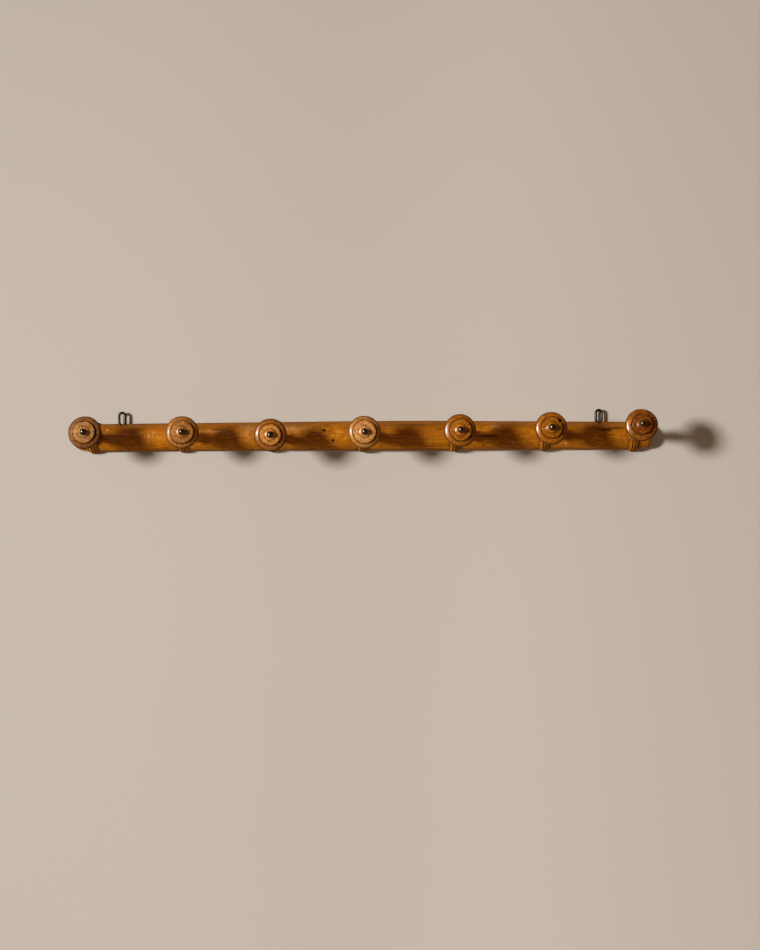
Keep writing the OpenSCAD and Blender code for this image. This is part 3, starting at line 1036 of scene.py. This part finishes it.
def patina_group():
    """Clouds of old varnish, and small rubbed flecks: fine noise within patches of coarser noise."""
    sockets = (
        ("Vector", "NodeSocketVector", None),
        ("Scale", "NodeSocketFloat", 22.0),
        ("Flecks", "NodeSocketFloat", 0.5),
    )
    graph, inside, tree = new_group("Patina", sockets, ("Cloud", "Fleck"))
    vector, scale = inside["Vector"], inside["Scale"]
    cloud = graph.noise(vector, scale, 5.0, 0.4)
    speck = graph.noise(graph.scaled(vector, (0.45, 1, 1)), graph.times(scale, 17), 2.0)
    patch = graph.ramp(graph.noise(vector, graph.times(scale, 1.6), 2.0), 0.5, 0.62)
    fleck = graph.times(graph.ramp(speck, 0.66, 0.72), graph.times(patch, inside["Flecks"]))
    graph.add("NodeGroupOutput", {"Cloud": graph.ramp(cloud, 0.34, 0.66), "Fleck": fleck})
    return tree


def mark_group():
    """One soft mark: 1 in the middle of an ellipsoid, 0 outside, with an edge broken up by noise."""
    sockets = (
        ("Vector", "NodeSocketVector", None),
        ("Centre", "NodeSocketVector", (0, 0, 0)),
        ("Half size", "NodeSocketVector", (0.01, 0.05, 0.01)),
        ("Roughness", "NodeSocketFloat", 0.5),
    )
    graph, inside, tree = new_group("Mark", sockets, ("Mask",))
    away = graph.vector_maths("SUBTRACT", inside["Vector"], inside["Centre"])
    ratio = graph.vector_maths("DIVIDE", away, inside["Half size"])
    distance = graph.add("ShaderNodeVectorMath", {0: ratio}, operation="LENGTH").outputs["Value"]
    noise = graph.less(graph.noise(graph.scaled(inside["Vector"], (0.35, 1, 1)), 420.0, 4.0), 0.5)
    broken = graph.maths("ADD", distance, graph.times(noise, graph.times(inside["Roughness"], 4)))
    graph.add("NodeGroupOutput", {"Mask": graph.ramp(broken, 1.1, 0.5)})
    return tree


def shared_group(graph, name, build, values):
    """Places the group of that name, built the first time it is asked for, and gives its outputs."""
    tree = bpy.data.node_groups.get(name) or build()
    return graph.add("ShaderNodeGroup", values, node_tree=tree).outputs


def grain_nodes(graph, vector, fineness, bend):
    """Fibre, Band and Pore of the wood grain."""
    values = {"Vector": vector, "Fineness": fineness, "Bend": bend}
    return shared_group(graph, "Wood grain", wood_grain_group, values)


def patina_nodes(graph, vector, scale, flecks=0.0):
    """Cloud and Fleck of the patina."""
    values = {"Vector": vector, "Scale": scale, "Flecks": flecks}
    return shared_group(graph, "Patina", patina_group, values)


def mark_mask(graph, vector, centre, half_size, roughness):
    """Mask of one mark."""
    values = {"Vector": vector, "Centre": centre, "Half size": half_size, "Roughness": roughness}
    return shared_group(graph, "Mark", mark_group, values)["Mask"]


def opaque(rgb, factor=1.0):
    """The colour with full alpha, made lighter or darker by the factor."""
    return (*(min(1.0, channel * factor) for channel in rgb), 1.0)


def new_material(name):
    """A new material, its graph and its Principled shader, which is already joined to the output."""
    material = bpy.data.materials.new(name)
    material.use_nodes = True
    return material, Graph(material.node_tree), material.node_tree.nodes["Principled BSDF"]


VARNISH_TINT = (1.0, 0.6, 0.22, 1.0)
DULL_ROUGHNESS = 0.8
VARNISH_RELIEF = 0.0006
STEEL_RELIEF = 0.0003
FIBRE_HEIGHT = 0.25


def wood_height(graph, grain):
    """A quarter of the fibre less the pore, so fibres stand a little proud and pores lie deep."""
    return graph.less(graph.times(grain["Fibre"], FIBRE_HEIGHT), grain["Pore"])


def finish_varnish(graph, shader, base, dull, height, sheen, coat, bump):
    """Joins colour and relief to a shader with amber sheen and clear coat, both worn where it is dull."""
    sheen_level, sheen_roughness = sheen
    coat_weight, coat_roughness = coat
    graph.feed(shader, {
        "Base Color": base,
        "Roughness": graph.ramp(dull, 0.0, 1.0, sheen_roughness, DULL_ROUGHNESS),
        "Coat Weight": graph.ramp(dull, 0.0, 1.0, coat_weight, 0.0),
        "Coat Roughness": coat_roughness,
        "Specular IOR Level": sheen_level,
        "Specular Tint": VARNISH_TINT,
        "Normal": graph.relief(height, bump, VARNISH_RELIEF),
    })


# Marks on the rail's front lie at this Y, with this half size along it
MARK_Y = -0.022
MARK_HALF_Y = 0.06

# Marks on the rail, stains and scuffs with some painted shadows and highlights: centre along X and up Z,
# half sizes along X and Z, roughness, strength
DARK_MARKS_AND_SHADOWS = (
    (0.209, -0.001, 0.020, 0.0028, 0.35, 0.80),
    (0.201, -0.0167, 0.0022, 0.0016, 0.2, 0.8),
    (0.128, 0.0111, 0.010, 0.0016, 0.3, 0.6),
    (0.402, 0.0088, 0.016, 0.0022, 0.3, 0.85),
    (0.423, 0.0113, 0.016, 0.0020, 0.3, 0.85),
    (0.082, 0.0184, 0.046, 0.0011, 0.3, 0.6),
    (-0.0672, 0.0096, 0.0040, 0.0022, 0.4, 0.6),
    (-0.375, 0.0116, 0.012, 0.0010, 0.4, 0.45),
    # The last two paint the shadow and dust under the hanging eyes' feet
    (-0.4030, 0.0200, 0.0030, 0.0040, 0.3, 0.8),
    (0.3955, 0.0200, 0.0034, 0.0040, 0.3, 0.8),
)
PALE_MARKS_AND_HIGHLIGHTS = (
    (-0.245, 0.0085, 0.018, 0.0016, 0.9, 0.5),
    (-0.4255, 0.012, 0.0022, 0.0018, 0.3, 0.6),
    (0.2505, -0.0122, 0.0040, 0.0030, 0.8, 0.5),
    (0.2350, -0.0175, 0.0022, 0.0014, 0.3, 0.6),
    (0.3378, -0.0140, 0.0016, 0.0036, 0.3, 0.95),
    (0.2210, 0.0150, 0.0120, 0.0030, 0.9, 0.3),
    # A broad patch of painted sheen left of the third knob
    (-0.1900, 0.0140, 0.0200, 0.0050, 1.2, 0.22),
    (-0.2700, 0.0105, 0.0032, 0.0008, 0.3, 0.85),
    (-0.2560, 0.0105, 0.0030, 0.0008, 0.3, 0.8),
    (-0.2270, 0.0060, 0.0010, 0.0034, 0.4, 0.6),
    (-0.2215, 0.0050, 0.0010, 0.0042, 0.4, 0.6),
    (-0.2320, 0.0080, 0.0030, 0.0012, 0.5, 0.5),
    # A patch of painted sheen left of the third knob
    (-0.1930, 0.0020, 0.0080, 0.0080, 1.4, 0.24),
    (-0.1150, 0.0130, 0.0250, 0.0050, 1.4, 0.26),
    (-0.0380, 0.0070, 0.0090, 0.0008, 0.5, 0.4),
    # These two strips paint a highlight between the first and second knobs
    (-0.3565, 0.0027, 0.0016, 0.0042, 0.4, 0.60),
    (-0.3498, 0.0035, 0.0010, 0.0040, 0.4, 0.50),
    # A painted glint on the left flare of the seventh node
    (0.4431, -0.0035, 0.0011, 0.0038, 0.2, 0.8),
    (-0.1536, -0.0222, 0.0020, 0.0026, 0.3, 0.8),
)


def rail_varnish(finish):
    """Amber varnish over long grain, with painted shade on the upper side, marks that include painted
    shadows and highlights, dust and painted shade in lines and creases, and a bare back.
    """
    material, graph, shader = new_material("Rail varnish")
    pale, deep, grime_and_shade = opaque(finish.rail_pale), opaque(finish.rail_deep), opaque(finish.grime_and_shade)
    rubbed, bare = opaque(finish.rubbed), opaque(finish.bare)
    vector = graph.object_vector()
    dirt_and_shade = graph.attribute("dirt_and_shade")
    grain = grain_nodes(graph, vector, fineness=330.0, bend=0.006)
    patina = patina_nodes(graph, vector, scale=24.0, flecks=0.6)
    mottle = patina_nodes(graph, graph.scaled(vector, (0.9, 1, 1)), scale=250.0)
    wood = graph.mix(grain["Fibre"], deep, pale)
    wood = graph.layer(wood, grain["Band"], 0.4, opaque(finish.rail_deep, 0.75))
    wood = graph.layer(wood, patina["Cloud"], 0.5, opaque(finish.rail_deep, 0.9))
    wood = graph.layer(wood, mottle["Cloud"], 0.55, opaque(finish.rail_deep, 0.65))
    # Painted shade on the upper side, mottled by the patina cloud
    painted_top_shade = graph.times(graph.attribute("painted_top_shade"), graph.ramp(patina["Cloud"], 0.0, 1.0, 0.4, 0.85))
    wood = graph.mix(painted_top_shade, wood, opaque(finish.rail_top_shade))
    wood = graph.layer(wood, grain["Pore"], 0.35, opaque(finish.grime_and_shade, 1.5))
    wood = graph.mix(patina["Fleck"], wood, rubbed)
    # Dark marks paint stains and, under the eyes, painted shadow; pale marks paint scuffs and some painted
    # highlights and sheen
    for marks, tint in ((DARK_MARKS_AND_SHADOWS, grime_and_shade), (PALE_MARKS_AND_HIGHLIGHTS, rubbed)):
        for x, z, half_x, half_z, roughness, strength in marks:
            mask = mark_mask(graph, vector, (x, MARK_Y, z), (half_x, MARK_HALF_Y, half_z), roughness)
            wood = graph.layer(wood, mask, strength, tint)
    wood = graph.layer(wood, dirt_and_shade, 0.9, grime_and_shade)
    back = graph.mix(grain["Band"], bare, opaque(finish.bare, 0.62))
    back = graph.layer(back, grain["Fibre"], 0.4, opaque(finish.bare, 0.8))
    base = graph.mix(graph.attribute("bare"), wood, back)
    unrubbed = graph.less(1.0, graph.attribute("rubbed"))
    dull = graph.most(graph.most(dirt_and_shade, unrubbed), patina["Fleck"])
    height = wood_height(graph, grain)
    finish_varnish(graph, shader, base, dull, height, sheen=(0.10, 0.5), coat=(0.28, 0.36), bump=0.3)
    return material


def stem_varnish(finish):
    """Glossy varnish over grain that runs along the peg, with dust and painted shade in the hollows."""
    material, graph, shader = new_material("Stem varnish")
    vector = graph.peg_vector()
    dirt_and_shade = graph.attribute("dirt_and_shade")
    grain = grain_nodes(graph, vector, fineness=1100.0, bend=0.004)
    patina = patina_nodes(graph, vector, scale=60.0, flecks=0.4)
    wood = graph.mix(grain["Fibre"], opaque(finish.stem_deep), opaque(finish.stem_pale))
    wood = graph.layer(wood, patina["Cloud"], 0.4, opaque(finish.stem_deep, 0.9))
    wood = graph.layer(wood, grain["Pore"], 0.4, opaque(finish.grime_and_shade, 1.5))
    wood = graph.mix(patina["Fleck"], wood, opaque(finish.rubbed))
    base = graph.layer(wood, dirt_and_shade, 0.9, opaque(finish.grime_and_shade))
    dull = graph.most(dirt_and_shade, patina["Fleck"])
    height = wood_height(graph, grain)
    finish_varnish(graph, shader, base, dull, height, sheen=(0.2, 0.45), coat=(0.5, 0.22), bump=0.2)
    return material


# For each knob, its colour where the grain is pale and where it is dark, its share of rubbed flecks,
# its polish, and the tint that its rim has over its disc
KNOB_TINTS = (
    ((0.78, 0.375, 0.140), (0.46, 0.180, 0.046), 0.7, 0.06, (0.58, 0.52, 0.46)),
    ((0.76, 0.325, 0.088), (0.46, 0.162, 0.028), 0.4, 0.26, (0.97, 0.90, 0.60)),
    ((0.90, 0.420, 0.110), (0.66, 0.215, 0.026), 0.4, 0.28, (0.54, 0.44, 0.28)),
    ((0.95, 0.530, 0.190), (0.76, 0.300, 0.060), 0.4, 0.26, (0.76, 0.68, 0.50)),
    ((0.78, 0.262, 0.010), (0.42, 0.115, 0.0016), 0.5, 0.60, (0.86, 0.82, 0.60)),
    ((0.73, 0.236, 0.008), (0.38, 0.102, 0.0014), 0.5, 0.46, (0.96, 0.94, 0.80)),
    ((0.54, 0.132, 0.005), (0.16, 0.032, 0.0006), 0.3, 0.54, (1.40, 1.75, 2.30)),
)


def knob_varnish(finish, index):
    """Glossy varnish of one knob: its own tint, mottled, with turning rings, and dust and painted shade in
    groove, joints and scars and on the rim's edge.
    """
    pale, deep, flecks, polish, rim_tint = KNOB_TINTS[index]
    material, graph, shader = new_material(f"Knob varnish {index + 1}")
    vector = graph.peg_vector()
    dirt_and_shade = graph.attribute("dirt_and_shade")
    grain = grain_nodes(graph, graph.scaled(vector, (1, 0.12, 1)), fineness=520.0, bend=0.004)
    patina = patina_nodes(graph, vector, scale=75.0, flecks=flecks)
    mottle = graph.ramp(patina_nodes(graph, vector, scale=270.0)["Cloud"], 0.35, 0.75)
    turned = graph.add("ShaderNodeCombineXYZ", {0: graph.attribute("turned")}).outputs[0]
    rings = graph.ramp(graph.noise(turned, 620.0, 3.0), 0.42, 0.66)
    wood = graph.mix(grain["Fibre"], opaque(deep), opaque(pale))
    wood = graph.layer(wood, patina["Cloud"], 0.45, opaque(deep, 0.9))
    wood = graph.layer(wood, mottle, 0.75, opaque(deep, 0.5))
    wood = graph.layer(wood, rings, 0.6, opaque(deep, 0.6))
    wood = graph.mix(graph.attribute("rim"), wood, (*rim_tint, 1.0), blend="MULTIPLY")
    wood = graph.layer(wood, grain["Pore"], 0.35, opaque(finish.grime_and_shade, 1.5))
    wood = graph.mix(patina["Fleck"], wood, opaque(finish.rubbed))
    base = graph.layer(wood, dirt_and_shade, 0.92, opaque(finish.grime_and_shade))
    dull = graph.most(dirt_and_shade, patina["Fleck"])
    height = wood_height(graph, grain)
    sheen = (0.1 + 0.4 * polish, 0.42)
    finish_varnish(graph, shader, base, dull, height, sheen, coat=(polish, 0.2), bump=0.15)
    return material


def worn_steel(name, on_peg, tint, grime_and_shade, cloud_scale, roughness):
    """Steel with cloudy tarnish, placed by the peg or by the rack's frame, and dust and painted contact
    shade where it meets wood.
    """
    material, graph, shader = new_material(name)
    vector = graph.peg_vector() if on_peg else graph.object_vector()
    dirt_and_shade = graph.attribute("dirt_and_shade")
    cloud = patina_nodes(graph, vector, scale=cloud_scale)["Cloud"]
    steel = graph.layer(opaque(tint, 1.25), cloud, 0.6, opaque(tint, 0.45))
    graph.feed(shader, {
        "Base Color": graph.mix(dirt_and_shade, steel, opaque(grime_and_shade)),
        "Roughness": graph.ramp(cloud, 0.0, 1.0, *roughness),
        "Metallic": graph.ramp(dirt_and_shade, 0.0, 1.0, 1.0, 0.2),
        "Normal": graph.relief(cloud, 0.2, STEEL_RELIEF),
    })
    return material


def ball_steel(finish):
    """Dark polished steel of the ball heads."""
    return worn_steel("Ball steel", True, finish.ball, finish.grime_and_shade, 160.0, roughness=(0.22, 0.34))


def eye_steel(finish):
    """Dull grey steel of the hanging eyes."""
    return worn_steel("Eye steel", False, finish.steel, finish.grime_and_shade, 190.0, roughness=(0.3, 0.5))


# The stage; rays that start closer to the wall than this pass through it

WALL_PASS = 0.009
WALL_STRIPS = 400
SENSOR_WIDTH = 36
VIEW_DEPTH = 40

# Painted light falloff on the wall, darker to the left, paler below and darker above: where it changes, and
# to what
WALL_ACROSS = (-0.6, 0.25)
WALL_UP = (-0.9, 0.9)
WALL_LEFT = 0.91
WALL_BELOW = (1.08, 1.08, 1.08, 1.0)
WALL_ABOVE = (0.93, 0.93, 0.93, 1.0)


def sheet(name, points, faces, material):
    """A surface of the room, smooth."""
    mesh = bpy.data.meshes.new(name)
    mesh.from_pydata(points, [], faces)
    mesh.polygons.foreach_set("use_smooth", np.ones(len(faces), bool))
    mesh.materials.append(material)
    surface = bpy.data.objects.new(name, mesh)
    bpy.context.scene.collection.objects.link(surface)


def wall_sheet(stage):
    """The wall in upright strips, with the shallow hollow of an old plastered wall: a bell along X."""
    x = np.linspace(-stage.extent, stage.extent, WALL_STRIPS + 1)
    y = stage.wall_gap + stage.hollow * bell(x - stage.hollow_at, stage.hollow_spread)
    low, high = (np.column_stack((x, y, np.full_like(x, z))) for z in (-stage.floor_drop, stage.extent))
    column = np.arange(len(x) - 1)
    faces = np.column_stack((column, column + 1, column + 1 + len(x), column + len(x)))
    sheet("wall", np.vstack((low, high)).tolist(), faces.tolist(), wall_paint(stage))


def wall_paint(stage):
    """Matt paint with painted light falloff, seen from the front only; rays that start within a few
    millimetres of it pass through.
    """
    material, graph, shader = new_material("Wall paint")
    at = graph.add("ShaderNodeSeparateXYZ", {0: graph.object_vector()}).outputs
    # The paint with painted shade to the left, then times painted light falloff from below to above
    paint = graph.mix(graph.ramp(at["X"], *WALL_ACROSS), opaque(stage.wall, WALL_LEFT), opaque(stage.wall))
    painted_light_falloff = graph.mix(graph.ramp(at["Z"], *WALL_UP), WALL_BELOW, WALL_ABOVE)
    graph.feed(shader, {
        "Base Color": graph.mix(1.0, paint, painted_light_falloff, blend="MULTIPLY"),
        "Roughness": 0.9,
        "Specular IOR Level": 0.2,
    })
    behind = graph.add("ShaderNodeNewGeometry").outputs["Backfacing"]
    path = graph.add("ShaderNodeLightPath").outputs
    near = graph.maths("LESS_THAN", path["Ray Length"], WALL_PASS)
    near = graph.times(near, graph.less(1.0, path["Is Camera Ray"]))
    clear = graph.most(behind, near)
    glass = graph.add("ShaderNodeBsdfTransparent").outputs[0]
    mixed = graph.add("ShaderNodeMixShader", {0: clear, 1: shader.outputs[0], 2: glass}).outputs[0]
    graph.feed(graph.tree.nodes["Material Output"], {"Surface": mixed})
    return material


def floor_paint(stage):
    """Plain pale floor with a faint cloudiness, dim to all but the camera."""
    material, graph, shader = new_material("Floor paint")
    seen = graph.add("ShaderNodeLightPath").outputs["Is Camera Ray"]
    cloud = graph.noise(graph.object_vector(), 1.5, 3.0)
    pale = graph.mix(cloud, opaque(stage.floor, 0.97), opaque(stage.floor, 1.03))
    base = graph.mix(seen, opaque(stage.floor, stage.floor_bounce), pale)
    graph.feed(shader, {"Base Color": base, "Roughness": 0.85})
    return material


def area_light(name, location, target, size, strength):
    """An oval area light without falloff, aimed at the target."""
    data = bpy.data.lights.new(name, "AREA")
    data.shape = "ELLIPSE"
    data.size, data.size_y = size
    data.energy = 1.0
    data.use_nodes = True
    graph = Graph(data.node_tree)
    even = graph.add("ShaderNodeLightFalloff", {"Strength": strength}).outputs["Constant"]
    graph.feed(data.node_tree.nodes["Emission"], {"Strength": even})
    light = bpy.data.objects.new(name, data)
    light.location = location
    light.rotation_euler = (Vector(target) - Vector(location)).to_track_quat("-Z", "Y").to_euler()
    bpy.context.scene.collection.objects.link(light)
    return light


def make_world(stage):
    """Warm dim light from the room, which the camera sees as a backdrop as pale as the floor."""
    world = bpy.data.worlds.new("Room")
    bpy.context.scene.world = world
    world.use_nodes = True
    graph = Graph(world.node_tree)
    path = graph.add("ShaderNodeLightPath").outputs
    lit = graph.mix(path["Is Glossy Ray"], opaque(stage.ambient), opaque(stage.ambient, stage.mirrored))
    tint = graph.mix(path["Is Camera Ray"], lit, opaque(stage.floor))
    graph.feed(world.node_tree.nodes["Background"], {"Color": tint})


def make_camera(stage):
    """A camera that looks straight at the wall, rolled a little."""
    data = bpy.data.cameras.new("camera")
    data.lens = stage.lens
    data.sensor_width = SENSOR_WIDTH
    data.sensor_fit = "AUTO"
    data.clip_end = VIEW_DEPTH
    camera = bpy.data.objects.new("camera", data)
    camera.location = stage.camera
    camera.rotation_euler = (math.pi / 2, stage.roll, 0)
    bpy.context.scene.collection.objects.link(camera)
    bpy.context.scene.camera = camera


class RACK_OT_stage(bpy.types.Operator):
    """Set up the wall, the floor, the lights and the camera"""

    bl_idname = "rack.stage"
    bl_label = "Stage"

    def execute(self, context):
        """Makes the room; only the varnish mirrors the card, which stands where the key light does."""
        stage = context.scene.rack_stage
        far, low = stage.extent, -stage.floor_drop
        wall_sheet(stage)
        corners = ((-far, -far, low), (far, -far, low), (far, far, low), (-far, far, low))
        sheet("floor", corners, [(0, 1, 2, 3)], floor_paint(stage))
        key_size, card_size = (stage.key_width, stage.key_height), (stage.card_width, stage.card_height)
        area_light("key", stage.key, stage.aim, key_size, stage.key_strength)
        card = area_light("card", stage.key, stage.aim, card_size, stage.card_strength)
        card.visible_diffuse = False
        area_light("back", stage.back, stage.aim, (stage.back_size, stage.back_size), stage.back_strength)
        make_world(stage)
        make_camera(stage)
        context.scene.view_settings.view_transform = "Standard"
        return {"FINISHED"}


OPERATORS = (RACK_OT_stage, RACK_OT_rail, RACK_OT_stems, RACK_OT_knobs, RACK_OT_screws, RACK_OT_eyes)
GROUPS = {
    "Rail": ("rack_rail", RackRailSizes),
    "Pegs": ("rack_pegs", RackPegSizes),
    "Knobs": ("rack_knobs", RackKnobSizes),
    "Eyes": ("rack_eyes", RackEyeSizes),
    "Finish": ("rack_finish", RackFinish),
    "Stage": ("rack_stage", RackStage),
}


class RACK_PT_parts(bpy.types.Panel):
    """The rack's pieces, in the order of making"""

    bl_idname = "RACK_PT_parts"
    bl_label = "Coat Rack"
    bl_space_type = "VIEW_3D"
    bl_region_type = "UI"
    bl_category = "Coat Rack"

    def draw(self, context):
        """Lists the operators, then a box for each group of sizes or colours."""
        for operator in OPERATORS:
            self.layout.operator(operator.bl_idname)
        for title, (name, group) in GROUPS.items():
            box = self.layout.box()
            box.label(text=title)
            for key in group.__annotations__:
                box.prop(getattr(context.scene, name), key)


def register():
    """Registers the groups of properties on the scene, the operators and the panel."""
    for name, group in GROUPS.values():
        bpy.utils.register_class(group)
        setattr(bpy.types.Scene, name, PointerProperty(type=group))
    for operator in (*OPERATORS, RACK_PT_parts):
        bpy.utils.register_class(operator)


def unregister():
    """Takes back what register does."""
    for operator in (*OPERATORS, RACK_PT_parts):
        bpy.utils.unregister_class(operator)
    for name, group in GROUPS.values():
        delattr(bpy.types.Scene, name)
        bpy.utils.unregister_class(group)


def main():
    """Makes the stage and every piece."""
    register()
    bpy.ops.rack.stage()
    bpy.ops.rack.rail()
    bpy.ops.rack.stems()
    bpy.ops.rack.knobs()
    bpy.ops.rack.screws()
    bpy.ops.rack.eyes()


if __name__ == "__main__":
    main()
